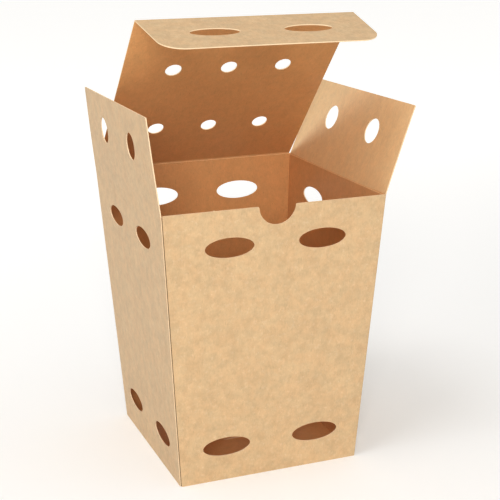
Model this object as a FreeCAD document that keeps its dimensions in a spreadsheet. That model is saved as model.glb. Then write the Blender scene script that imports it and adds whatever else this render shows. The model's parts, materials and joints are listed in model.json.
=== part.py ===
"""Tapered take-away carton of kraft board, with a hinged tuck lid, two dust flaps and vents.

The carton is one blank, folded and glued: four tapered walls, a bottom of four lapped flaps,
and a glue tab behind the left wall at the front corner. The lid, its tuck flap and the two
dust flaps swing on pressed creases. Units are millimetres. Z is up, X runs across the front,
the front wall faces -Y, and the origin is the centre of the underside.
"""
import FreeCAD, Part
import Sketcher
import os

V = FreeCAD.Vector

# Driving dimensions: name, value in millimetres, meaning
SIZES = [
    ("board", 0.6, "thickness of the kraft board"),
    ("carton_height", 160.0, "underside to rim"),
    ("top_width", 130.0, "outside width at the rim"),
    ("top_depth", 134.0, "outside depth at the rim"),
    ("base_width", 108.4, "outside width at the underside"),
    ("base_depth", 110.5, "outside depth at the underside"),
    ("corner_radius", 0.9, "outside radius of the folded corners"),
    ("crease_gap", 0.2, "space left between a wall and the bead of a crease"),
    ("side_crease_drop", 1.0, "how far the dust flaps' creases lie below the lid's crease"),
    ("side_clearance", 0.4, "space between two panels that pass each other"),
    ("tab_width", 13.0, "width of the glue tab behind the left wall"),
    ("seam_gap", 0.15, "gap between the glued wall's cut edge and the front wall's fold"),
    ("seam_setback", 0.9, "how far the glued wall's cut edge stands behind the front face"),
    ("base_seam", 0.5, "gap between a bottom flap's cut edge and the wall it faces"),
    ("front_base_flap", 78.0, "front bottom flap, from crease to edge"),
    ("back_base_flap", 62.0, "back bottom flap, from crease to edge"),
    ("side_base_flap", 43.0, "side bottom flaps, from crease to edge"),
    ("side_base_slope", 12.0, "how far the side bottom flaps narrow at each end"),
    ("notch_radius", 10.6, "thumb notch in the front rim"),
    ("vent_width", 28.0, "oval vent, along the wall"),
    ("vent_height", 11.2, "oval vent, up the wall"),
    ("vent_offset", 27.0, "oval vent's centre from the wall's centre line"),
    ("vent_drop", 21.0, "upper vents' centres below the rim"),
    ("vent_rise", 21.0, "lower vents' centres above the underside"),
    ("lid_taper", 0.5, "how much narrower the lid is at its fold, on each side"),
    ("lid_setback", 1.3, "lid's fold behind the front face when the lid is closed"),
    ("lid_vent", 9.6, "diameter of the lid's round vents"),
    ("lid_vent_pitch", 33.4, "lid's round vents, from one to the next across the lid"),
    ("lid_row_back", 36.0, "lid's rear row of vents, from the crease"),
    ("lid_row_front", 89.8, "lid's front row of vents, from the crease"),
    ("tuck_length", 44.3, "tuck flap, from fold to edge"),
    ("tuck_taper", 2.8, "how much narrower the tuck flap is at its edge, on each side"),
    ("tuck_corner", 13.0, "radius of the tuck flap's two front corners"),
    ("tuck_vent_offset", 26.6, "tuck flap's oval vents, from the centre line"),
    ("tuck_vent_reach", 22.0, "tuck flap's oval vents, from the fold"),
    ("dust_length", 52.0, "dust flap, from crease to edge"),
    ("dust_taper", 3.2, "how much narrower a dust flap is at its edge, at each end"),
    ("dust_corner", 3.0, "radius of a dust flap's two upper corners"),
    ("dust_vent", 15.0, "diameter of a dust flap's round vents"),
    ("dust_vent_offset", 27.0, "dust flap's round vents, from the centre line"),
    ("dust_vent_reach", 31.2, "dust flap's round vents, from the crease"),
]

# Angles at which the flaps stand in the reference view: name, degrees, meaning
ANGLES = [
    ("lid_lean", 46.3, "lid above its closed place"),
    ("tuck_bend", 60.5, "tuck flap below the lid's plane"),
    ("left_lean", 6.1, "left dust flap's outward lean"),
    ("right_lean", 21.5, "right dust flap's outward lean"),
]

# Places worked out from the driving dimensions
PLACES = [
    ("zero_line", "=0"),
    ("half_board", "=board / 2"),
    ("rim_half_width", "=top_width / 2"),
    ("rim_half_depth", "=top_depth / 2"),
    ("foot_half_width", "=base_width / 2"),
    ("foot_half_depth", "=base_depth / 2"),
    ("rim_inner_width", "=rim_half_width - board"),
    ("rim_inner_depth", "=rim_half_depth - board"),
    ("foot_inner_width", "=foot_half_width - board"),
    ("foot_inner_depth", "=foot_half_depth - board"),
    ("back_wall_top", "=carton_height - half_board - crease_gap"),
    ("side_hinge_height", "=carton_height - side_crease_drop"),
    ("side_wall_top", "=side_hinge_height - half_board - crease_gap"),
    ("over_rim", "=carton_height + board"),
    ("past_back", "=rim_half_depth + board"),
    ("foot_mid_width", "=foot_half_width - half_board"),
    ("foot_mid_depth", "=foot_half_depth - half_board"),
    ("rim_mid_width", "=rim_half_width - half_board"),
    ("rim_mid_depth", "=rim_half_depth - half_board"),
    ("foot_tab_inner", "=foot_inner_width - board"),
    ("rim_tab_inner", "=rim_inner_width - board"),
    ("foot_tab_end", "=foot_half_depth - tab_width"),
    ("rim_tab_end", "=rim_half_depth - tab_width"),
    ("foot_seam_inner", "=foot_inner_width - seam_gap"),
    ("rim_seam_inner", "=rim_inner_width - seam_gap"),
    ("foot_seam_edge", "=foot_half_depth - seam_setback"),
    ("rim_seam_edge", "=rim_half_depth - seam_setback"),
    ("foot_outside_width", "=foot_half_width + board"),
    ("rim_outside_width", "=rim_half_width + board"),
    ("foot_outside_depth", "=foot_half_depth + board"),
    ("rim_outside_depth", "=rim_half_depth + board"),
    ("base_flap_side", "=foot_inner_width - base_seam"),
    ("base_flap_end", "=foot_inner_depth - base_seam"),
    ("front_flap_edge", "=front_base_flap - foot_half_depth"),
    ("back_flap_edge", "=foot_half_depth - back_base_flap"),
    ("side_flap_edge", "=foot_half_width - side_base_flap"),
    ("side_flap_narrow", "=base_flap_end - side_base_slope"),
    ("lid_length", "=rim_mid_depth + rim_half_depth - lid_setback"),
    ("lid_half_width", "=rim_inner_width - side_clearance"),
    ("lid_front_half", "=lid_half_width - lid_taper"),
    ("lid_edge", "=lid_length - half_board - crease_gap"),
    ("lid_hole_radius", "=lid_vent / 2"),
    ("tuck_edge_half", "=lid_front_half - tuck_taper"),
    ("vent_half_width", "=vent_width / 2"),
    ("vent_half_height", "=vent_height / 2"),
    ("upper_vent_height", "=carton_height - vent_drop"),
    ("dust_half", "=rim_inner_depth - side_clearance"),
    ("dust_edge_half", "=dust_half - dust_taper"),
    ("dust_hole_radius", "=dust_vent / 2"),
]


def make_sheet(doc):
    """Puts the dimensions and the places worked out from them in one sheet."""
    sheet = doc.addObject("Spreadsheet::Sheet", "Sizes")
    row = 1
    for alias, number, meaning in SIZES + ANGLES:
        sheet.set("A%d" % row, alias)
        sheet.set("B%d" % row, str(number))
        sheet.set("C%d" % row, meaning)
        sheet.setAlias("B%d" % row, alias)
        row += 1
    for alias, formula in PLACES:
        sheet.set("A%d" % row, alias)
        sheet.set("B%d" % row, formula)
        sheet.setAlias("B%d" % row, alias)
        row += 1
    doc.recompute()
    return sheet


def size(alias):
    """The number behind an alias, which may be written with a minus sign."""
    if alias.startswith("-"):
        return -float(SHEET.get(alias[1:]))
    return float(SHEET.get(alias))


def bound(alias):
    """The expression that ties a property to an alias."""
    if alias.startswith("-"):
        return "-Sizes." + alias[1:]
    return "Sizes." + alias


def origin_plane(body, role):
    """One of a body's own three origin planes."""
    return next(f for f in body.Origin.OriginFeatures if f.Role == role)


def new_sketch(body, name, role, lift=None):
    """A sketch on an origin plane, raised along its normal by an alias if one is given."""
    sketch = body.newObject("Sketcher::SketchObject", name)
    sketch.AttachmentSupport = [(origin_plane(body, role), "")]
    sketch.MapMode = "FlatFace"
    if lift:
        sketch.setExpression(".AttachmentOffset.Base.z", bound(lift))
    return sketch


def fix_point(sketch, geometry, point, across, along):
    """Places one point of a sketch by two aliases, measured from the sketch's origin."""
    for kind, alias in (("DistanceX", across), ("DistanceY", along)):
        constraint = Sketcher.Constraint(kind, -1, 1, geometry, point, size(alias))
        index = sketch.addConstraint(constraint)
        sketch.setExpression("Constraints[%d]" % index, bound(alias))


def polygon(sketch, corners):
    """A closed outline of straight lines through corners named by aliases."""
    points = [V(size(across), size(along), 0) for across, along in corners]
    first = sketch.GeometryCount
    count = len(points)
    for i in range(count):
        sketch.addGeometry(Part.LineSegment(points[i], points[(i + 1) % count]), False)
    for i in range(count):
        sketch.addConstraint(
            Sketcher.Constraint("Coincident", first + i, 2, first + (i + 1) % count, 1))
    for i, (across, along) in enumerate(corners):
        fix_point(sketch, first + i, 1, across, along)


def rectangle(sketch, left, right, low, high):
    """A closed rectangle between four aliases."""
    polygon(sketch, [(left, low), (right, low), (right, high), (left, high)])


def circle(sketch, across, along, radius):
    """A full circle placed and sized by aliases."""
    shape = Part.Circle(V(size(across), size(along), 0), V(0, 0, 1), size(radius))
    index = sketch.addGeometry(shape, False)
    fix_point(sketch, index, 3, across, along)
    spot = sketch.addConstraint(Sketcher.Constraint("Radius", index, size(radius)))
    sketch.setExpression("Constraints[%d]" % spot, bound(radius))


def oval(sketch, across, along):
    """An upright or level ellipse of the vents' size, centred by aliases."""
    centre = V(size(across), size(along), 0)
    end = centre + V(size("vent_half_width"), 0, 0)
    top = centre + V(0, size("vent_half_height"), 0)
    index = sketch.addGeometry(Part.Ellipse(end, top, centre), False)
    sketch.exposeInternalGeometry(index)
    long_axis = index + 1
    short_axis = index + 2
    sketch.addConstraint(Sketcher.Constraint("Horizontal", long_axis))
    fix_point(sketch, index, 3, across, along)
    for axis, alias in ((long_axis, "vent_width"), (short_axis, "vent_height")):
        spot = sketch.addConstraint(Sketcher.Constraint("Distance", axis, size(alias)))
        sketch.setExpression("Constraints[%d]" % spot, bound(alias))


def loft(body, name, kind, low, high):
    """A straight-sided loft between two sketches, added or cut away."""
    feature = body.newObject(kind, name)
    feature.Profile = low
    feature.Sections = [high]
    feature.Ruled = True
    doc.recompute()
    return feature


def pad(body, name, sketch, thickness, both_ways=False):
    """A pad of a sketch, to one side or half to each side of it."""
    feature = body.newObject("PartDesign::Pad", name)
    feature.Profile = sketch
    feature.setExpression("Length", bound(thickness))
    if both_ways:
        feature.SideType = "Symmetric"
    doc.recompute()
    return feature


def cut_through(body, name, sketch, reach):
    """A pocket that runs the same distance to both sides of its sketch."""
    feature = body.newObject("PartDesign::Pocket", name)
    feature.Profile = sketch
    feature.SideType = "Symmetric"
    feature.setExpression("Length", "2 * " + bound(reach))
    before = feature.BaseFeature.Shape.Volume
    doc.recompute()
    if feature.Shape.Volume >= before:
        raise RuntimeError(name + " cuts nothing")
    return feature


def mirror(body, name, feature, role):
    """A copy of one feature on the other side of an origin plane."""
    copy = body.newObject("PartDesign::Mirrored", name)
    copy.Originals = [feature]
    copy.MirrorPlane = (origin_plane(body, role), [""])
    body.Tip = copy
    doc.recompute()
    return copy


def bead(body, name, role, half_length):
    """The rounded bead of a crease: a rod as thick as the board, along the crease."""
    rod = body.newObject("PartDesign::AdditiveCylinder", name)
    rod.AttachmentSupport = [(origin_plane(body, role), "")]
    rod.MapMode = "FlatFace"
    rod.setExpression("Radius", bound("half_board"))
    rod.setExpression("Height", "2 * " + bound(half_length))
    rod.setExpression(".AttachmentOffset.Base.z", bound("-" + half_length))
    doc.recompute()
    return rod


def round_edges(body, name, base, radius, chosen):
    """Rounds the edges of a feature that the given test picks."""
    names = ["Edge%d" % (i + 1) for i, edge in enumerate(base.Shape.Edges) if chosen(edge)]
    feature = body.newObject("PartDesign::Fillet", name)
    feature.Base = (base, names)
    feature.setExpression("Radius", bound(radius))
    doc.recompute()
    return feature


def rises(edge):
    """True for an edge that runs from the underside up to the rim."""
    return edge.BoundBox.ZLength > size("carton_height") / 2


def make_walls(body):
    """Four tapered walls with rounded folds, open at both ends."""
    foot = new_sketch(body, "FootOutline", "XY_Plane")
    rectangle(foot, "-foot_half_width", "foot_half_width", "-foot_half_depth", "foot_half_depth")
    rim = new_sketch(body, "RimOutline", "XY_Plane", "carton_height")
    rectangle(rim, "-rim_half_width", "rim_half_width", "-rim_half_depth", "rim_half_depth")
    loft(body, "TaperedBlock", "PartDesign::AdditiveLoft", foot, rim)
    foot_in = new_sketch(body, "FootInside", "XY_Plane")
    rectangle(foot_in, "-foot_inner_width", "foot_inner_width",
              "-foot_inner_depth", "foot_inner_depth")
    rim_in = new_sketch(body, "RimInside", "XY_Plane", "carton_height")
    rectangle(rim_in, "-rim_inner_width", "rim_inner_width",
              "-rim_inner_depth", "rim_inner_depth")
    walls = loft(body, "Inside", "PartDesign::SubtractiveLoft", foot_in, rim_in)

    def folded(edge):
        centre = edge.CenterOfMass
        outside = abs(centre.x) > (size("foot_mid_width") + size("rim_mid_width")) / 2
        return rises(edge) and outside and not (centre.x < 0 and centre.y < 0)
    round_edges(body, "FoldedCorners", walls, "corner_radius", folded)


def make_glued_corner(body):
    """The tab that the left wall is glued to, and the rebate that the wall's edge leaves."""
    foot = new_sketch(body, "TabFoot", "XY_Plane")
    rectangle(foot, "-foot_mid_width", "-foot_tab_inner", "-foot_mid_depth", "-foot_tab_end")
    rim = new_sketch(body, "TabRim", "XY_Plane", "carton_height")
    rectangle(rim, "-rim_mid_width", "-rim_tab_inner", "-rim_mid_depth", "-rim_tab_end")
    loft(body, "GlueTab", "PartDesign::AdditiveLoft", foot, rim)
    foot = new_sketch(body, "SeamFoot", "XY_Plane")
    rectangle(foot, "-foot_outside_width", "-foot_seam_inner",
              "-foot_outside_depth", "-foot_seam_edge")
    rim = new_sketch(body, "SeamRim", "XY_Plane", "carton_height")
    rectangle(rim, "-rim_outside_width", "-rim_seam_inner",
              "-rim_outside_depth", "-rim_seam_edge")
    loft(body, "GluedSeam", "PartDesign::SubtractiveLoft", foot, rim)


def make_bottom(body):
    """Four lapped bottom flaps: front outermost, back over it, then the two sides."""
    front = new_sketch(body, "FrontBaseOutline", "XY_Plane")
    rectangle(front, "-base_flap_side", "base_flap_side", "-foot_mid_depth", "front_flap_edge")
    pad(body, "FrontBaseFlap", front, "board")
    back = new_sketch(body, "BackBaseOutline", "XY_Plane", "board")
    rectangle(back, "-base_flap_side", "base_flap_side", "back_flap_edge", "foot_mid_depth")
    pad(body, "BackBaseFlap", back, "board")
    for word, sign in (("Left", "-"), ("Right", "")):
        side = new_sketch(body, word + "BaseOutline", "XY_Plane")
        side.setExpression(".AttachmentOffset.Base.z", "2 * Sizes.board")
        wall = sign + "foot_mid_width"
        edge = sign + "side_flap_edge"
        polygon(side, [(wall, "-base_flap_end"), (wall, "base_flap_end"),
                       (edge, "side_flap_narrow"), (edge, "-side_flap_narrow")])
        pad(body, word + "BaseFlap", side, "board")


def make_rim(body):
    """Lowers the back and side walls to their creases and cuts the thumb notch."""
    rim = new_sketch(body, "CreaseLine", "YZ_Plane")
    polygon(rim, [("-rim_inner_depth", "over_rim"), ("-rim_inner_depth", "side_wall_top"),
                  ("rim_inner_depth", "side_wall_top"), ("rim_inner_depth", "back_wall_top"),
                  ("past_back", "back_wall_top"), ("past_back", "over_rim")])
    cut_through(body, "CreasedRims", rim, "top_width")
    notch = new_sketch(body, "NotchOutline", "XZ_Plane")
    circle(notch, "zero_line", "carton_height", "notch_radius")
    feature = body.newObject("PartDesign::Pocket", "ThumbNotch")
    feature.Profile = notch
    feature.Reversed = True
    feature.setExpression("Length", bound("top_depth"))
    before = feature.BaseFeature.Shape.Volume
    doc.recompute()
    if feature.Shape.Volume >= before:
        raise RuntimeError("the thumb notch cuts nothing")
    opposite = V(0, size("rim_mid_depth"), size("back_wall_top") - size("board"))
    if not feature.Shape.isInside(opposite, size("crease_gap"), True):
        raise RuntimeError("the thumb notch cuts the back wall")


def make_wall_vents(body):
    """Two oval vents above and two below in each wall, cut through facing walls at once."""
    for word, plane, across in (("End", "XZ_Plane", "YZ_Plane"), ("Side", "YZ_Plane", "XZ_Plane")):
        ovals = new_sketch(body, word + "VentOutlines", plane)
        oval(ovals, "vent_offset", "upper_vent_height")
        oval(ovals, "vent_offset", "vent_rise")
        cut = cut_through(body, word + "Vents", ovals, "top_depth")
        mirror(body, word + "VentsMirrored", cut, across)


def make_carton():
    """Walls, glue tab and bottom: one folded and glued sheet."""
    body = doc.addObject("PartDesign::Body", "Carton")
    body.Label = "carton"
    make_walls(body)
    make_glued_corner(body)
    make_bottom(body)
    make_wall_vents(body)
    make_rim(body)
    return body


def make_lid():
    """The lid, drawn flat and closed: its crease is the X axis and it reaches along -Y."""
    body = doc.addObject("PartDesign::Body", "Lid")
    body.Label = "lid"
    outline = new_sketch(body, "LidOutline", "XY_Plane")
    polygon(outline, [("-lid_half_width", "zero_line"), ("-lid_front_half", "-lid_edge"),
                      ("lid_front_half", "-lid_edge"), ("lid_half_width", "zero_line")])
    pad(body, "LidPanel", outline, "board", both_ways=True)
    bead(body, "LidBead", "YZ_Plane", "lid_half_width")
    holes = new_sketch(body, "LidHoles", "XY_Plane")
    for row in ("-lid_row_back", "-lid_row_front"):
        for column in ("-lid_vent_pitch", "zero_line", "lid_vent_pitch"):
            circle(holes, column, row, "lid_hole_radius")
    cut_through(body, "LidVents", holes, "board")
    return body


def make_tuck():
    """The tuck flap, drawn flat: its fold is the X axis and it reaches along -Y."""
    body = doc.addObject("PartDesign::Body", "TuckFlap")
    body.Label = "tuck_flap"
    outline = new_sketch(body, "TuckOutline", "XY_Plane")
    polygon(outline, [("-lid_front_half", "zero_line"), ("-tuck_edge_half", "-tuck_length"),
                      ("tuck_edge_half", "-tuck_length"), ("lid_front_half", "zero_line")])
    panel = pad(body, "TuckPanel", outline, "board", both_ways=True)
    half_way = -size("tuck_length") / 2

    def front_corner(edge):
        box = edge.BoundBox
        return box.XLength + box.YLength < 1e-6 and box.Center.y < half_way
    round_edges(body, "TuckCorners", panel, "tuck_corner", front_corner)
    bead(body, "TuckBead", "YZ_Plane", "lid_front_half")
    ovals = new_sketch(body, "TuckVentOutline", "XY_Plane")
    oval(ovals, "tuck_vent_offset", "-tuck_vent_reach")
    cut = cut_through(body, "TuckVent", ovals, "board")
    mirror(body, "TuckVentMirrored", cut, "YZ_Plane")
    return body


def make_dust_flap(name, label):
    """A dust flap, drawn upright: its crease is the Y axis and it reaches along +Z."""
    body = doc.addObject("PartDesign::Body", name)
    body.Label = label
    outline = new_sketch(body, name + "Outline", "YZ_Plane")
    polygon(outline, [("-dust_half", "zero_line"), ("dust_half", "zero_line"),
                      ("dust_edge_half", "dust_length"), ("-dust_edge_half", "dust_length")])
    panel = pad(body, name + "Panel", outline, "board", both_ways=True)
    half_way = size("dust_length") / 2

    def upper_corner(edge):
        box = edge.BoundBox
        return box.YLength + box.ZLength < 1e-6 and box.Center.z > half_way
    round_edges(body, name + "Corners", panel, "dust_corner", upper_corner)
    bead(body, name + "Bead", "XZ_Plane", "dust_half")
    holes = new_sketch(body, name + "Holes", "YZ_Plane")
    for column in ("-dust_vent_offset", "dust_vent_offset"):
        circle(holes, column, "dust_vent_reach", "dust_hole_radius")
    cut_through(body, name + "Vents", holes, "board")
    return body


def place(body, places, axis, angle):
    """Stands a body at its crease: where the crease is, and how far it is turned about it."""
    for direction, formula in places.items():
        body.setExpression(".Placement.Base." + direction, formula)
    for direction, number in zip("xyz", axis):
        body.setExpression(".Placement.Rotation.Axis." + direction, str(number))
    body.setExpression(".Placement.Rotation.Angle", angle)


def place_flaps(lid, tuck, left, right):
    """Opens every flap to the angle it has in the reference view."""
    place(lid, {"y": "Sizes.rim_mid_depth", "z": "Sizes.carton_height"},
          (1, 0, 0), "-Sizes.lid_lean")
    place(tuck, {"y": "Sizes.rim_mid_depth - Sizes.lid_length * cos(Sizes.lid_lean * 1deg)",
                 "z": "Sizes.carton_height + Sizes.lid_length * sin(Sizes.lid_lean * 1deg)"},
          (1, 0, 0), "Sizes.tuck_bend - Sizes.lid_lean")
    place(left, {"x": "-Sizes.rim_mid_width", "z": "Sizes.side_hinge_height"},
          (0, 1, 0), "-Sizes.left_lean")
    place(right, {"x": "Sizes.rim_mid_width", "z": "Sizes.side_hinge_height"},
          (0, 1, 0), "Sizes.right_lean")


def check_document():
    """Stops if any object failed to build."""
    for item in doc.Objects:
        if "Invalid" in item.State or "Error" in item.State:
            raise RuntimeError(item.Name + " failed: " + str(item.State))


def write_parts(bodies):
    """Writes each sub-part's shape to parts/, one closed solid in each file."""
    os.makedirs("parts", exist_ok=True)
    for body in bodies:
        shape = body.Shape
        if shape.isNull() or not shape.isValid() or len(shape.Solids) != 1:
            raise RuntimeError(body.Label + " isn't one valid solid")
        print(body.Label, "volume", round(shape.Volume, 1), "faces", len(shape.Faces))
        shape.exportStep("parts/" + body.Label + ".step")


doc = FreeCAD.newDocument("Carton")
SHEET = make_sheet(doc)
carton = make_carton()
lid = make_lid()
tuck = make_tuck()
left = make_dust_flap("LeftDustFlap", "left_dust_flap")
right = make_dust_flap("RightDustFlap", "right_dust_flap")
place_flaps(lid, tuck, left, right)
doc.recompute()
check_document()
write_parts([carton, lid, tuck, left, right])
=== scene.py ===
import json
from math import cos, pi, radians, sin

import bmesh
import bpy
from mathutils import Matrix, Vector


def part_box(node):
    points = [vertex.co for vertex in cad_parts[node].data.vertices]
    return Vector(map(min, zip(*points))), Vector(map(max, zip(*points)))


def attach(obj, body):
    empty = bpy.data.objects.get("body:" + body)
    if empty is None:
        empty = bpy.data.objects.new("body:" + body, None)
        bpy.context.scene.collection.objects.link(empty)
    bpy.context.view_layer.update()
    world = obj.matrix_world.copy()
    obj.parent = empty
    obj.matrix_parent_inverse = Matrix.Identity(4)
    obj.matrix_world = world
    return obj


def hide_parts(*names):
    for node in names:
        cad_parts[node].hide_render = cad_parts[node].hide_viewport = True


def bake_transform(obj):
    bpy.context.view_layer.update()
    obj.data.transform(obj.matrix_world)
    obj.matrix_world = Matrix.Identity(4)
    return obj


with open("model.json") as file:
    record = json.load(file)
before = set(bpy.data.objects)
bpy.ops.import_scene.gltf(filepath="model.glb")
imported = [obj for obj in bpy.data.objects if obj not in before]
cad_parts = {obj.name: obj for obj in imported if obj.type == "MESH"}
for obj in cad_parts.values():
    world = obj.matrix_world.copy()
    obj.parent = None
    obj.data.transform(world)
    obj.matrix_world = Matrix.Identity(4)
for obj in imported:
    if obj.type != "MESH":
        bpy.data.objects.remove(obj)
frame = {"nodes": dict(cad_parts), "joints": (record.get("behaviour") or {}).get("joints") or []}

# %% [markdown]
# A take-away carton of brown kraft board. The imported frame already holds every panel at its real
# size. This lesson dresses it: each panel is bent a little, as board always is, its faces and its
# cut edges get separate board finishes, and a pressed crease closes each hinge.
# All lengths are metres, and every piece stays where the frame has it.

MM = 0.001
X_AXIS = Vector((1, 0, 0))
Y_AXIS = Vector((0, 1, 0))
Z_AXIS = Vector((0, 0, 1))
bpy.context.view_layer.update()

# %% [markdown]
# The sizes below are the carton's own: its board, its rim and its foot. They say where a wall's
# plane lies at any height, which later tells an outer face from an inner one. The creases could be
# worked out from them too, but the frame's joints already hold them exactly.

# %% Sizes of the carton
BOARD = 0.6 * MM
HEIGHT = 160 * MM
RIM_HALF = Vector((65.0 * MM, 67.0 * MM))
FOOT_HALF = Vector((54.2 * MM, 55.25 * MM))
LEAN = (RIM_HALF - FOOT_HALF) / HEIGHT
print("the walls lean out by", [round(part, 4) for part in LEAN])

# %% Where the panels are hinged
JOINTS = {joint["name"]: joint for joint in frame["joints"]}
LID_CREASE = Vector(JOINTS["lid_hinge"]["pos_m"])
TUCK_CREASE = Vector(JOINTS["tuck_hinge"]["pos_m"])
LEFT_CREASE = Vector(JOINTS["left_dust_hinge"]["pos_m"])
RIGHT_CREASE = Vector(JOINTS["right_dust_hinge"]["pos_m"])
print("creases", [tuple(round(c, 4) for c in p) for p in (LID_CREASE, TUCK_CREASE, LEFT_CREASE)])


# %% [markdown]
# Kraft board is pressed wood fibre, and it shows detail at several scales. Broad patches lie a few
# centimetres apart, where the sheet is a little denser. Inside them are soft clouds of 2 to 6 mm,
# only a few percent lighter or darker, with small pale tufts, and now and then a shade pinker or
# greener. Over all lies a felt of fibres, drawn out along the sheet's own direction, with single
# pale and dark fibres and specks of lint and bark.
# A picture of board could be laid on each face, but noise needs no picture, shows no joins and can
# be turned with each panel. Each scale is one noise texture. Together they tint one colour, and
# the felt also makes a shallow bump. The pattern sits on Object coordinates, so it stays on the
# board from every side.

# %% A shader node with its inputs set
def add_node(tree, kind, **inputs):
    """One shader node, with its inputs and properties set by name."""
    node = tree.nodes.new(kind)
    for name, value in inputs.items():
        if name in node.inputs:
            node.inputs[name].default_value = value
        else:
            setattr(node, name, value)
    return node


# %% Noise of one scale
def noise(tree, coordinates, size, detail=3.0, roughness=0.55):
    """Noise whose spots are about size wide, in metres."""
    texture = add_node(tree, "ShaderNodeTexNoise", Scale=1 / size, Detail=detail,
                       Roughness=roughness)
    tree.links.new(coordinates, texture.inputs["Vector"])
    return texture.outputs["Fac"]


def drawn_out(tree, coordinates, turn, amount):
    """Coordinates that draw a texture out by amount along the turned z axis."""
    mapping = add_node(tree, "ShaderNodeMapping", vector_type="TEXTURE", Rotation=turn,
                       Scale=(1, 1, amount))
    tree.links.new(coordinates, mapping.inputs["Vector"])
    return mapping.outputs["Vector"]


# %% A tint that follows a noise
PLAIN = (1.0, 1.0, 1.0)


def shift(amount, *change):
    """What to multiply a colour by: 1 plus amount times a change, one for all or one for each."""
    changes = change if len(change) == 3 else change * 3
    return tuple(1 + part * amount for part in changes)


def tint(tree, colour, factor, stops):
    """The colour times a ramp through (place, multiplier) stops."""
    ramp = add_node(tree, "ShaderNodeValToRGB")
    band = ramp.color_ramp
    while len(band.elements) < len(stops):
        band.elements.new(0.5)
    for element, (place, multiplier) in zip(band.elements, stops):
        element.position = place
        element.color = (*multiplier, 1.0)
    tree.links.new(factor, ramp.inputs["Fac"])
    node = add_node(tree, "ShaderNodeMix", data_type="RGBA", blend_type="MULTIPLY", Factor=1.0)
    if isinstance(colour, tuple):
        node.inputs[6].default_value = (*colour, 1.0)
    else:
        tree.links.new(colour, node.inputs[6])
    tree.links.new(ramp.outputs["Color"], node.inputs[7])
    return node.outputs[2]


# %% The board's patches, clouds and tufts
PATCH = 20 * MM
HUE_DRIFT = 7 * MM
CLOUD = 4.5 * MM
PALE_TUFT = 2.2 * MM


def mottled(tree, colour, place, mottle):
    """The colour with all that is wider than a fibre. mottle says how strongly it shows."""
    patches = noise(tree, place, PATCH, detail=2.0)
    colour = tint(tree, colour, patches, [(0.35, shift(mottle, -0.030)),
                                          (0.65, shift(mottle, 0.020))])
    clouds = noise(tree, place, CLOUD, detail=4.0, roughness=0.6)
    colour = tint(tree, colour, clouds, [(0.36, shift(mottle, -0.065)),
                                         (0.50, PLAIN),
                                         (0.64, shift(mottle, 0.055))])
    tufts = noise(tree, place, PALE_TUFT, detail=3.0, roughness=0.7)
    colour = tint(tree, colour, tufts, [(0.56, PLAIN),
                                        (0.67, shift(mottle, 0.055, 0.085, 0.150))])
    hue = noise(tree, place, HUE_DRIFT, detail=2.0)
    return tint(tree, colour, hue, [(0.38, shift(mottle, 0.010, -0.012, -0.030)),
                                    (0.62, shift(mottle, -0.012, 0.004, 0.010))])


# %% The board's felt, single fibres and specks
FELT = 0.9 * MM
SPECK = 0.6 * MM
SINGLE_FIBRE = 0.45 * MM
FELT_STRETCH = 1.8
FIBRE_STRETCH = 9.0


def felted(tree, colour, place, turn, fibre):
    """The colour with its fibres, as strong as fibre says, and the felt itself for the bump."""
    felt = noise(tree, drawn_out(tree, place, turn, FELT_STRETCH), FELT, detail=5.0, roughness=0.7)
    colour = tint(tree, colour, felt, [(0.30, shift(fibre, -0.070)),
                                       (0.52, PLAIN),
                                       (0.72, shift(fibre, 0.045))])
    single = noise(tree, drawn_out(tree, place, turn, FIBRE_STRETCH), SINGLE_FIBRE, detail=1.0)
    colour = tint(tree, colour, single, [(0.24, shift(fibre, -0.13)),
                                         (0.34, PLAIN),
                                         (0.68, PLAIN),
                                         (0.77, shift(fibre, 0.09))])
    specks = noise(tree, place, SPECK, detail=1.0)
    colour = tint(tree, colour, specks, [(0.20, shift(fibre, -0.25, -0.32, -0.36)),
                                         (0.27, PLAIN),
                                         (0.74, PLAIN),
                                         (0.80, shift(fibre, 0.10))])
    return colour, felt


# %% The board's relief
FELT_DEPTH = 0.05 * MM
SWAY = 14 * MM
SWAY_DEPTH = 0.35 * MM


def board_relief(tree, place, felt, fibre):
    """A normal with the felt's fine bump on a slow sway of the sheet."""
    fine = add_node(tree, "ShaderNodeBump", Strength=0.30 * fibre, Distance=FELT_DEPTH)
    tree.links.new(felt, fine.inputs["Height"])
    slow = add_node(tree, "ShaderNodeBump", Strength=0.20, Distance=SWAY_DEPTH)
    tree.links.new(noise(tree, place, SWAY, detail=2.0), slow.inputs["Height"])
    tree.links.new(fine.outputs["Normal"], slow.inputs["Normal"])
    return slow.outputs["Normal"]


# %% The kraft board finish
def kraft(name, colour, turn=(0, 0, 0), mottle=1.0, fibre=1.0, roughness=0.55):
    """Kraft board of one colour. turn carries z onto the direction in which the fibres lie."""
    material = bpy.data.materials.new(name)
    material.use_nodes = True
    tree = material.node_tree
    shader = tree.nodes["Principled BSDF"]
    place = add_node(tree, "ShaderNodeTexCoord").outputs["Object"]
    colour = mottled(tree, colour, place, mottle)
    colour, felt = felted(tree, colour, place, turn, fibre)
    tree.links.new(colour, shader.inputs["Base Color"])
    tree.links.new(board_relief(tree, place, felt, fibre), shader.inputs["Normal"])
    shader.inputs["Roughness"].default_value = roughness
    shader.inputs["Specular IOR Level"].default_value = 0.45
    shader.inputs["Sheen Weight"].default_value = 0.05
    shader.inputs["Sheen Roughness"].default_value = 0.5
    return material


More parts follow.
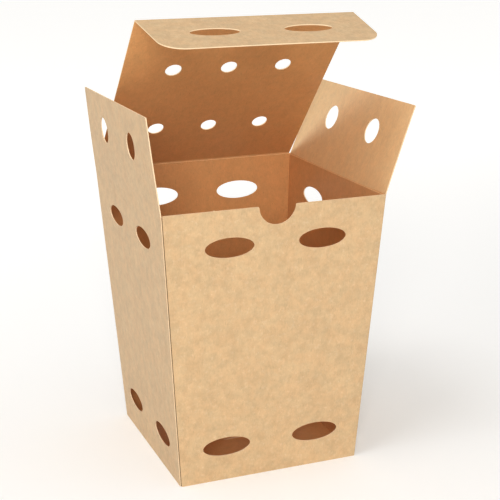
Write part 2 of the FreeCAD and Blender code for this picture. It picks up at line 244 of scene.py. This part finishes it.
# %% [markdown]
# The outer face is the lighter side of the sheet, and the inner face is a deeper, redder brown. A
# cut edge shows the raw core, much paler than either. A crease is rubbed by the folding tool, so
# its ridges are a little paler than the face round them. Deep in the glued corner the board lies
# in shade, and that shade is painted on as a dark finish.
# The right dust flap stands open to the light and its inner face shines back a broad pale sheen.
# The lights of this scene don't give all of it, so that face gets a paler brown: painted light and
# sheen.
# All panels are cut from one sheet, and its fibres run up each wall and on along the panel that is
# hinged to it. One finish for all would let the fibres cross the lid and the flaps, so every panel
# gets its own pair of face finishes, turned to lie along it.

# %% The finishes
OUTER_COLOUR = (0.636, 0.450, 0.260)
INNER_COLOUR = (0.725, 0.402, 0.174)
# painted light: a paler inner brown that stands in for the right flap's sheen and light
PAINTED_SHEEN_INNER_COLOUR = (0.840, 0.585, 0.325)
EDGE_COLOUR = (0.86, 0.68, 0.46)
RUBBED_COLOUR = (0.86, 0.56, 0.29)
# painted shade: the dark colour given to the slot in the glued corner
SHADE_COLOUR = (0.26, 0.125, 0.055)
EDGE = kraft("kraft_cut_edge", EDGE_COLOUR, mottle=0.5, fibre=0.5, roughness=0.85)
RUBBED = kraft("kraft_crease", RUBBED_COLOUR, mottle=0.6, fibre=0.6, roughness=0.6)


def board_finishes(word, along, inner=INNER_COLOUR):
    """The outer face, inner face and cut edge of a panel whose fibres lie along a direction."""
    turn = tuple(Z_AXIS.rotation_difference(along).to_euler())
    return [kraft("kraft_outer_" + word, OUTER_COLOUR, turn),
            kraft("kraft_inner_" + word, inner, turn, mottle=0.6, roughness=0.42), EDGE]


SHADE = kraft("kraft_seam_shade", SHADE_COLOUR, mottle=0.5, fibre=0.5, roughness=0.9)
WALL_FINISHES = board_finishes("walls", Z_AXIS)
print("finishes", [material.name for material in WALL_FINISHES + [RUBBED]])

# %% The places of the finishes on a piece
OUTER_FACE = 0
INNER_FACE = 1
CUT_EDGE = 2
FOURTH = 3      # the shade in the carton's glued corner, or the rubbed ridges of a crease


# %% [markdown]
# Each panel starts as a merged copy of its CAD node, so its outline, vents and seats are exactly
# the frame's. It could be drawn anew from its sizes, but then each vent would have to be cut again.
# Long flat faces can't bend, so bisect_plane first cuts the copy into small cells. A slight swell
# is then added across the panel: board that has been stored flat never stands perfectly flat again.

# %% A merged copy of a node, cut into cells
CELL = 7.0 * MM
SAME_POINT = 1e-6
ON_THE_CUT = 1e-7
FLAT_BELOW = radians(0.4)


def board_copy(node):
    """A bmesh copy of a CAD node with its loose triangles joined."""
    sheet = bmesh.new()
    sheet.from_mesh(frame["nodes"][node].data)
    bmesh.ops.remove_doubles(sheet, verts=sheet.verts, dist=SAME_POINT)
    bmesh.ops.dissolve_limit(sheet, angle_limit=FLAT_BELOW, verts=sheet.verts, edges=sheet.edges)
    return sheet


def cut_cells(sheet, start, direction, reach):
    """Parallel cuts one cell apart, from a point along a direction as far as reach."""
    count = int(reach / CELL)
    for i in range(1, count + 1):
        place = start + direction * (reach * i / (count + 1))
        parts = sheet.verts[:] + sheet.edges[:] + sheet.faces[:]
        bmesh.ops.bisect_plane(sheet, geom=parts, plane_co=place, plane_no=direction,
                               dist=ON_THE_CUT)


# %% A finished piece from a bmesh
def make_piece(sheet, name, materials, smooth_below=28):
    """An object at the origin from a bmesh, with edges flatter than an angle shaded smooth."""
    for edge in sheet.edges:
        if len(edge.link_faces) == 2:
            edge.smooth = edge.calc_face_angle() < radians(smooth_below)
    for face in sheet.faces:
        face.smooth = True
    mesh = bpy.data.meshes.new(name)
    sheet.to_mesh(mesh)
    sheet.free()
    for material in materials:
        mesh.materials.append(material)
    piece = bpy.data.objects.new(name, mesh)
    bpy.context.scene.collection.objects.link(piece)
    print(name, len(mesh.polygons), "faces")
    return piece


def finish_panel(sheet, node, materials):
    """Makes a panel's object, rides it on its body and lets it stand for its node."""
    piece = make_piece(sheet, node + "_board", materials)
    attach(piece, node)
    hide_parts(node)


# %% [markdown]
# The carton's walls lean outwards, so a face belongs to the outside when it looks along the
# wall's own leaning normal. Faces that look along the wall, inside its thickness, are cut edges:
# the vents' rims, the thumb notch, the raw edge of the glued corner and the top rim.
# The faces could be picked by hand, but a rule holds for all of them, and stays true after a cut.

# %% The walls' planes
RIGHT_WALL = 0
LEFT_WALL = 1
BACK_WALL = 2
FRONT_WALL = 3
OUTWARDS = {RIGHT_WALL: X_AXIS, LEFT_WALL: -X_AXIS, BACK_WALL: Y_AXIS, FRONT_WALL: -Y_AXIS}
NORMALS = {RIGHT_WALL: Vector((1, 0, -LEAN.x)).normalized(),
           LEFT_WALL: Vector((-1, 0, -LEAN.x)).normalized(),
           BACK_WALL: Vector((0, 1, -LEAN.y)).normalized(),
           FRONT_WALL: Vector((0, -1, -LEAN.y)).normalized()}
print("front wall looks along", [round(part, 3) for part in NORMALS[FRONT_WALL]])


def half_at(height):
    """Outside half-width and half-depth of the carton at a height."""
    return FOOT_HALF.lerp(RIM_HALF, height / HEIGHT)


def depth_in_board(point):
    """How far a point lies inside the nearest wall's outer face, and which wall that is."""
    half = half_at(point.z)
    depths = {RIGHT_WALL: half.x - point.x, LEFT_WALL: half.x + point.x,
              BACK_WALL: half.y - point.y, FRONT_WALL: half.y + point.y}
    nearest = min(depths, key=depths.get)
    return depths[nearest], nearest


# %% Which side of the board a face of the carton is
WALL_ZONE = 2.5 * BOARD
BOTTOM_ZONE = 3 * BOARD + MM
FOOT_ZONE = 2 * MM
LEVEL = 0.5
EDGE_ON = 0.4


def carton_finish(face):
    """The place of the finish that a face of the carton takes."""
    centre = face.calc_center_median()
    depth, wall = depth_in_board(centre)
    if depth > WALL_ZONE:
        if centre.z > BOTTOM_ZONE or face.normal.z > LEVEL:
            return INNER_FACE
        return OUTER_FACE if face.normal.z < -LEVEL else CUT_EDGE
    facing = face.normal.dot(NORMALS[wall])
    if abs(facing) < EDGE_ON:
        at_corner_fold = wall == FRONT_WALL and face.normal.x < -0.9
        at_foot_fold = centre.z < FOOT_ZONE and face.normal.z < -LEVEL
        return OUTER_FACE if at_corner_fold or at_foot_fold else CUT_EDGE
    return OUTER_FACE if facing > 0 else INNER_FACE


# %% [markdown]
# The die that cuts the blank can't make a needle-sharp point, and fingers wear the thumb notch
# first. So the two corners where the notch meets the rim are eased with bevel before the cuts.

# %% The thumb notch's corners
NOTCH_RADIUS = 10.6 * MM
NOTCH_EASE = 1.3 * MM
NEAR = 0.3 * MM


def ease_notch(sheet):
    """Rounds the two corners where the thumb notch meets the rim."""
    corners = []
    for edge in sheet.edges:
        ends = [vert.co for vert in edge.verts]
        at_rim = all(abs(end.z - HEIGHT) < NEAR for end in ends)
        at_front = all(end.y < -RIM_HALF.y + 2 * BOARD for end in ends)
        at_notch = all(abs(abs(end.x) - NOTCH_RADIUS) < NEAR for end in ends)
        if at_rim and at_front and at_notch:
            corners.append(edge)
    bmesh.ops.bevel(sheet, geom=corners, offset=NOTCH_EASE, segments=4, profile=0.5,
                    affect="EDGES", material=-1)
    print("notch corners eased", len(corners))


# %% [markdown]
# At the glued corner the front wall folds away behind the left wall's raw edge. The glue doesn't
# reach quite to the edge, so a thin dark slot stays open beside it. A dark line in the finish would
# do from afar, but a real slot stays true from near. It is cut with one bisect of the raw edge's
# face, and its inner part is extruded into the board. Its faces also take a dark finish of painted
# shade.

# %% The slot at the glued corner
SEAM_SETBACK = 0.9 * MM
SEAM_MARGIN = 0.46 * MM
SEAM_DEPTH = 0.6 * MM


def raw_edge_faces(sheet):
    """The faces of the left wall's raw edge at the glued corner."""
    found = []
    for face in sheet.faces:
        centre = face.calc_center_median()
        half = half_at(centre.z)
        at_wall = centre.x < -half.x + 2 * BOARD
        at_setback = abs(centre.y + half.y - SEAM_SETBACK) < BOARD / 5
        if face.normal.y < -0.9 and at_wall and at_setback:
            found.append(face)
    return found


def open_seam(sheet):
    """Sinks a slot beside the raw edge, a margin in from the left wall's outer face."""
    parts = raw_edge_faces(sheet)
    for face in parts[:]:
        parts += face.edges[:] + face.verts[:]
    cut = bmesh.ops.bisect_plane(sheet, geom=list(dict.fromkeys(parts)), dist=ON_THE_CUT,
                                 plane_co=(-FOOT_HALF.x + SEAM_MARGIN, 0, 0),
                                 plane_no=(1, 0, LEAN.x))
    slot = []
    for item in cut["geom"]:
        if isinstance(item, bmesh.types.BMFace):
            centre = item.calc_center_median()
            if centre.x > -half_at(centre.z).x + SEAM_MARGIN:
                slot.append(item)
    grown = bmesh.ops.extrude_face_region(sheet, geom=slot)
    moved = [item for item in grown["geom"] if isinstance(item, bmesh.types.BMVert)]
    bmesh.ops.translate(sheet, verts=moved, vec=Y_AXIS * SEAM_DEPTH)
    bmesh.ops.delete(sheet, geom=slot, context="FACES_ONLY")
    sunk = [item for item in grown["geom"] if isinstance(item, bmesh.types.BMFace)]
    for vert in moved:
        sunk += [face for face in vert.link_faces if face not in sunk]
    # the slot's faces take the dark finish of painted shade
    for face in sunk:
        face.material_index = FOURTH
    print("seam slot faces", len(sunk))


# %% [markdown]
# The swell bows each wall by about half a millimetre and fades out at the folds, the foot and the
# hinged rims. Only the front's rim is free, so there a little of it is left.

# %% The swell of the walls
WALL_BOWS = {RIGHT_WALL: 0.40 * MM, LEFT_WALL: -0.35 * MM,
             BACK_WALL: 0.35 * MM, FRONT_WALL: 0.55 * MM}
FREE_RIM = 0.93


def swell_walls(sheet):
    """Bows each wall gently, with nothing at the folds, the foot or the hinged rims."""
    for vert in sheet.verts:
        depth, wall = depth_in_board(vert.co)
        if depth > WALL_ZONE:
            continue
        up = min(max(vert.co.z / HEIGHT, 0), 1)
        half = half_at(vert.co.z)
        side = vert.co.x / half.x if wall in (BACK_WALL, FRONT_WALL) else vert.co.y / half.y
        rim = FREE_RIM if wall == FRONT_WALL else 1.0
        vert.co += OUTWARDS[wall] * WALL_BOWS[wall] * cos(pi / 2 * side) * sin(pi * up * rim)


# %% The carton's walls and bottom
walls = board_copy("carton")
ease_notch(walls)
open_seam(walls)
low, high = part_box("carton")
for axis, direction in enumerate((X_AXIS, Y_AXIS, Z_AXIS)):
    cut_cells(walls, low, direction, (high - low)[axis])
for face in walls.faces:
    if face.material_index != FOURTH:
        face.material_index = carton_finish(face)
swell_walls(walls)
print("open edges", sum(1 for edge in walls.edges if len(edge.link_faces) != 2))
finish_panel(walls, "carton", WALL_FINISHES + [SHADE])


# %% [markdown]
# The lid, the tuck flap and the two dust flaps are flat panels that stand at an angle. Each one
# is described by its crease: a point on it, the way it runs, the way the panel reaches from it and
# the way its inner face looks. The swell is zero along the crease, so the hinges stay true.
# A die cuts the dust flaps' free corners almost sharp, while the frame has them rounded. So the
# points of each round are moved out along their own rays until they nearly reach a square corner.

# %% How a panel stands on its crease
def directions(node, crease, run):
    """Which way a panel reaches from its crease, and where its inner face looks."""
    low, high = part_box(node)
    along = (low + high) / 2 - crease
    along -= run * along.dot(run)
    along.normalize()
    inside = run.cross(along)
    towards_middle = Z_AXIS * (HEIGHT / 2) - crease
    if inside.dot(towards_middle) < 0:
        inside = -inside
    return along, inside


# %% The dust flaps' free corners
DUST_CORNER = 3.0 * MM
SHARPNESS = 0.9
AT_TIP = 0.01 * MM


def sharpen_point(vert, corner, run, along, radius):
    """Moves a point of a rounded free corner out towards the square corner that a die cuts."""
    middle = corner - run * radius - along * radius
    spot = vert.co - middle
    across = spot.dot(run)
    out = spot.dot(along)
    if across <= 0 or out <= 0:
        return
    stretch = Vector((across, out)).length / max(across, out)
    vert.co += (run * across + along * out) * (stretch - 1) * SHARPNESS


def sharpen_corners(sheet, crease, run, along, radius):
    """Makes both free corners of a panel nearly square."""
    spots = [vert.co - crease for vert in sheet.verts]
    reach = max(spot.dot(along) for spot in spots)
    tip = [spot.dot(run) for spot in spots if spot.dot(along) > reach - AT_TIP]
    for end in (-1, 1):
        tip_end = max(place * end for place in tip) + radius
        corner = crease + along * reach + run * tip_end * end
        for vert in sheet.verts:
            sharpen_point(vert, corner, run * end, along, radius)


# %% Flat panels on a crease
FACE_ON = 0.6


def flat_panel(node, crease, run, bow, curl=0.0, sharp=0.0, inner=INNER_COLOUR):
    """A hinged panel from its node. bow swells its middle, and curl bends its far edge, both
    towards its inner face. sharp is the radius of free corners that are cut sharp."""
    along, inside = directions(node, crease, run)
    sheet = board_copy(node)
    spots = [vert.co - crease for vert in sheet.verts]
    half = max(abs(spot.dot(run)) for spot in spots)
    reach = max(spot.dot(along) for spot in spots)
    if sharp:
        sharpen_corners(sheet, crease, run, along, sharp)
    cut_cells(sheet, crease - run * half, run, 2 * half)
    cut_cells(sheet, crease, along, reach)
    for face in sheet.faces:
        facing = face.normal.dot(inside)
        face.material_index = CUT_EDGE
        if abs(facing) > FACE_ON:
            face.material_index = INNER_FACE if facing > 0 else OUTER_FACE
    for vert in sheet.verts:
        spot = vert.co - crease
        far = min(max(spot.dot(along) / reach, 0), 1)
        side = min(abs(spot.dot(run)) / half, 1)
        swell = bow * sin(pi * far) * (1 - 0.6 * side * side)
        vert.co += inside * (swell + curl * far ** 3 * (0.4 + 0.6 * side * side))
    finish_panel(sheet, node, board_finishes(node, along, inner))
    return along, inside


# %% The lid and the three flaps
LID = flat_panel("lid", LID_CREASE, X_AXIS, bow=-0.7 * MM)
TUCK = flat_panel("tuck_flap", TUCK_CREASE, X_AXIS, bow=0.25 * MM, curl=0.4 * MM)
LEFT = flat_panel("left_dust_flap", LEFT_CREASE, Y_AXIS, bow=-0.5 * MM, sharp=DUST_CORNER)
# the right flap's inner face takes the paler colour of painted light and sheen
RIGHT = flat_panel("right_dust_flap", RIGHT_CREASE, Y_AXIS, bow=0.4 * MM, sharp=DUST_CORNER,
                   inner=PAINTED_SHEEN_INNER_COLOUR)


# %% [markdown]
# A crease is pressed into the board before it is folded. The board stays one sheet across it, and
# the fold raises narrow ridges on the inside, two along the lid and one along a side, while the
# outside stays smooth. Two panels that only met edge to edge would open a gap when the joint turns.
# So a strip spans each hinge, bent round the fold as the panels stand. Its section is drawn as
# stations along the bent board, each with its rise on the inner side, and one extrude carries it
# along the fold. Its two ends lie a hair under the panels' faces, and its middle stands a hair
# above them.

# %% The section of a crease
STATIONS = [-1.5, -1.2, -0.95, -0.75, -0.6, -0.45, -0.3, -0.15,
            0.0, 0.15, 0.3, 0.45, 0.6, 0.75, 0.95, 1.2, 1.5]
BEND = 0.45
BURIED_PAST = 1.1
BURIED = -0.05 * MM
PROUD = 0.01 * MM
RIDGE_REACH = 0.4


def bent_point(crease, first, second, station):
    """A point on the board's middle: along first below 0, along second above, round between."""
    if station <= -BEND:
        return crease - first * station * MM
    if station >= BEND:
        return crease + second * station * MM
    share = (station + BEND) / (2 * BEND)
    return crease + (first * (1 - share) ** 2 + second * share ** 2) * BEND * MM


def ridge_rise(station, ridge, apart):
    """How far the strip stands above the board's inner face, in metres."""
    if abs(station) > BURIED_PAST:
        return BURIED
    return ridge * max(0.0, 1 - (abs(abs(station) - apart) / RIDGE_REACH) ** 2) + PROUD


def strip_faces(points, run, inside, rises):
    """The inner and the outer line of the section, from points along the board's middle."""
    inner = []
    outer = []
    for i, point in enumerate(points):
        before = points[max(i - 1, 0)]
        after = points[min(i + 1, len(points) - 1)]
        side = (after - before).cross(run).normalized()
        if side.dot(inside) < 0:
            side = -side
        outer_rise = BURIED if abs(STATIONS[i]) > BURIED_PAST else PROUD
        inner.append(point + side * (BOARD / 2 + rises[i]))
        outer.append(point - side * (BOARD / 2 + outer_rise))
    return inner, outer


# %% A bent strip across a crease
def swept_strip(section_points, run, half_length):
    """The section drawn at one end of the crease and extruded to the other."""
    strip = bmesh.new()
    section = [strip.verts.new(point - run * half_length) for point in section_points]
    grown = bmesh.ops.extrude_face_region(strip, geom=[strip.faces.new(section)])
    moved = [item for item in grown["geom"] if isinstance(item, bmesh.types.BMVert)]
    bmesh.ops.translate(strip, verts=moved, vec=run * (2 * half_length))
    bmesh.ops.recalc_face_normals(strip, faces=strip.faces)
    return strip


def strip_finish(face, run, middles, rises, ridge):
    """The place of the finish of a strip's face, found by the nearest stretch of the section."""
    if abs(face.normal.dot(run)) > 0.9:
        return CUT_EDGE
    gaps = [(face.calc_center_median() - middle).length for middle in middles]
    nearest = gaps.index(min(gaps))
    if nearest >= len(STATIONS) - 1:
        return OUTER_FACE
    return FOURTH if rises[nearest] + rises[nearest + 1] > ridge else INNER_FACE


def crease_strip(name, crease, run, first, panel, half_length, ridge, apart=0.6):
    """A strip of board bent round a crease. first points into the first body's panel, and panel
    is the second's own pair of directions. The ridges stand apart from the fold, in stations,
    and at 0 they are one."""
    second, inside = panel
    points = [bent_point(crease, first, second, station) for station in STATIONS]
    rises = [ridge_rise(station, ridge, apart) for station in STATIONS]
    inner, outer = strip_faces(points, run, inside, rises)
    strip = swept_strip(inner + outer[::-1], run, half_length)
    middles = [(one + other) / 2 for one, other in zip(inner, inner[1:])]
    middles += [(one + other) / 2 for one, other in zip(outer, outer[1:])]
    for face in strip.faces:
        face.material_index = strip_finish(face, run, middles, rises, ridge)
    piece = make_piece(strip, name, WALL_FINISHES + [RUBBED], smooth_below=50)
    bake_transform(piece)


# %% The four creases
LID_HALF = 63.8 * MM
TUCK_HALF = 63.3 * MM
DUST_HALF = 65.8 * MM
down_back = Vector((0, -LEAN.y, -1)).normalized()
crease_strip("lid_crease", LID_CREASE, X_AXIS, down_back, LID, LID_HALF,
             ridge=0.16 * MM)
crease_strip("tuck_crease", TUCK_CREASE, X_AXIS, -LID[0], TUCK, TUCK_HALF,
             ridge=0.10 * MM)
for word, panel, crease in (("left", LEFT, LEFT_CREASE), ("right", RIGHT, RIGHT_CREASE)):
    down_side = Vector((-LEAN.x if crease.x > 0 else LEAN.x, 0, -1)).normalized()
    crease_strip(word + "_dust_crease", crease, Y_AXIS,
                 down_side, panel, DUST_HALF, ridge=0.15 * MM, apart=0.0)


# %% [markdown]
# A die leaves small nicks in its blade so that the blank stays in its sheet until it is stripped
# out. Each one tears a tiny tuft of fibre on a cut edge. Two show: one on the front rim and one on
# the left dust flap. The board's own edge could be pulled out there, but a tuft is loose fibre, so
# a small ball drawn out along the edge and sunk into it comes nearer.

# %% Two torn nicks on cut edges
NICK = 0.7 * MM
NICK_ALONG = 1.8
NICK_ACROSS = 0.9
DUST_LENGTH = 52.0 * MM


def nick(name, body, place, along):
    """A tuft of torn fibre on a cut edge that runs along an axis."""
    tuft = bmesh.new()
    bmesh.ops.create_icosphere(tuft, subdivisions=2, radius=NICK / 2)
    stretch = [NICK_ALONG if part else NICK_ACROSS for part in along]
    bmesh.ops.scale(tuft, vec=stretch, verts=tuft.verts)
    bmesh.ops.translate(tuft, vec=place, verts=tuft.verts)
    piece = make_piece(tuft, name, [EDGE], smooth_below=90)
    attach(piece, body)


front_rim = Vector((-36 * MM, -RIM_HALF.y + BOARD / 2, HEIGHT - 0.05 * MM))
flap_rim = LEFT_CREASE + LEFT[0] * (DUST_LENGTH - NICK / 2) - Y_AXIS * 27 * MM
nick("rim_nick", "carton", front_rim, X_AXIS)
nick("flap_nick", "left_dust_flap", flap_rim, Y_AXIS)

# %% [markdown]
# The photograph's camera stands a little above the rim, to the left of the front, with a long
# lens. A camera placed by eye would be near, but its place and aim were solved from the carton's
# corners and vents instead, so that each edge can be set against the photograph. A tiny roll comes
# from the same solution.

# %% The camera
CAMERA_AT = Vector((-238.1, -633.5, 306.7)) * MM
AIM_AT = Vector((8.8, -3.4, 117.9)) * MM
ROLL = 0.40
LENS = 85.5
camera_data = bpy.data.cameras.new("camera")
camera_data.lens = LENS
camera_data.sensor_width = 36.0
camera_data.clip_start = 0.01
camera = bpy.data.objects.new("camera", camera_data)
turn = (AIM_AT - CAMERA_AT).to_track_quat("-Z", "Y").to_matrix().to_4x4()
camera.matrix_world = (Matrix.Translation(CAMERA_AT) @ turn @
                       Matrix.Rotation(radians(-ROLL), 4, "Z"))
bpy.context.scene.collection.objects.link(camera)
bpy.context.scene.camera = camera
print("camera at", tuple(round(c, 4) for c in CAMERA_AT))

# %% [markdown]
# A plain white floor lies under a white surround, as in a product photographer's light tent. The
# floor could be left out, but the carton would then float, with no light from below. It glows a
# little more towards the back, like a sweep that is lit from behind, which keeps the background
# white without lighting the front.

# %% The floor
FLOOR_HALF = 6.0
SWEEP_FROM = 0.05
SWEEP_TO = 0.90
GLOW_NEAR = 0.11
GLOW_FAR = 0.38
floor_mesh = bpy.data.meshes.new("floor")
plane = bmesh.new()
bmesh.ops.create_grid(plane, x_segments=1, y_segments=1, size=FLOOR_HALF)
plane.to_mesh(floor_mesh)
plane.free()
floor = bpy.data.objects.new("floor", floor_mesh)
bpy.context.scene.collection.objects.link(floor)
print("floor", 2 * FLOOR_HALF, "m wide")

# %% The floor's finish
floor_finish = bpy.data.materials.new("pale_floor")
floor_finish.use_nodes = True
floor_tree = floor_finish.node_tree
floor_shader = floor_tree.nodes["Principled BSDF"]
floor_shader.inputs["Base Color"].default_value = (0.85, 0.85, 0.85, 1)
floor_shader.inputs["Roughness"].default_value = 0.9
floor_shader.inputs["Emission Color"].default_value = (1, 1, 1, 1)
axes = add_node(floor_tree, "ShaderNodeSeparateXYZ")
floor_place = add_node(floor_tree, "ShaderNodeTexCoord").outputs["Object"]
floor_tree.links.new(floor_place, axes.inputs["Vector"])
sweep = add_node(floor_tree, "ShaderNodeMapRange")
sweep.inputs["From Min"].default_value = SWEEP_FROM
sweep.inputs["From Max"].default_value = SWEEP_TO
sweep.inputs["To Min"].default_value = GLOW_NEAR
sweep.inputs["To Max"].default_value = GLOW_FAR
floor_tree.links.new(axes.outputs["Y"], sweep.inputs["Value"])
floor_tree.links.new(sweep.outputs["Result"], floor_shader.inputs["Emission Strength"])
floor_mesh.materials.append(floor_finish)

# %% [markdown]
# A large soft key light stands at the front left. It is low, so that it reaches under the raised
# lid and onto the right flap's inner face, and the left flap shades the lid's corner. A weaker
# light at the upper left fills the right flap. The surround alone would light every face alike, and
# the folds would hardly show.

# %% The surround and the picture's tone
world = bpy.data.worlds.new("surround")
world.use_nodes = True
background = world.node_tree.nodes["Background"]
background.inputs["Color"].default_value = (1.0, 0.985, 0.955, 1)
background.inputs["Strength"].default_value = 0.70
bpy.context.scene.world = world
bpy.context.scene.view_settings.view_transform = "Standard"
bpy.context.scene.view_settings.gamma = 0.85

# %% Two soft lights
LIT_AT = Vector((0, 0, 0.15))
KEY_AT = Vector((-0.62, -1.52, 0.78))
UPPER_LEFT_AT = Vector((-0.60, -0.30, 1.65))


def soft_light(name, place, width, power):
    """A square area light that faces the middle of the carton."""
    data = bpy.data.lights.new(name, "AREA")
    data.shape = "SQUARE"
    data.size = width
    data.energy = power
    lamp = bpy.data.objects.new(name, data)
    lamp.location = place
    lamp.rotation_euler = (LIT_AT - place).to_track_quat("-Z", "Y").to_euler()
    bpy.context.scene.collection.objects.link(lamp)
    print(name, power, "W")


soft_light("key", KEY_AT, 0.5, 13.0)
soft_light("upper_left", UPPER_LEFT_AT, 0.6, 6.0)
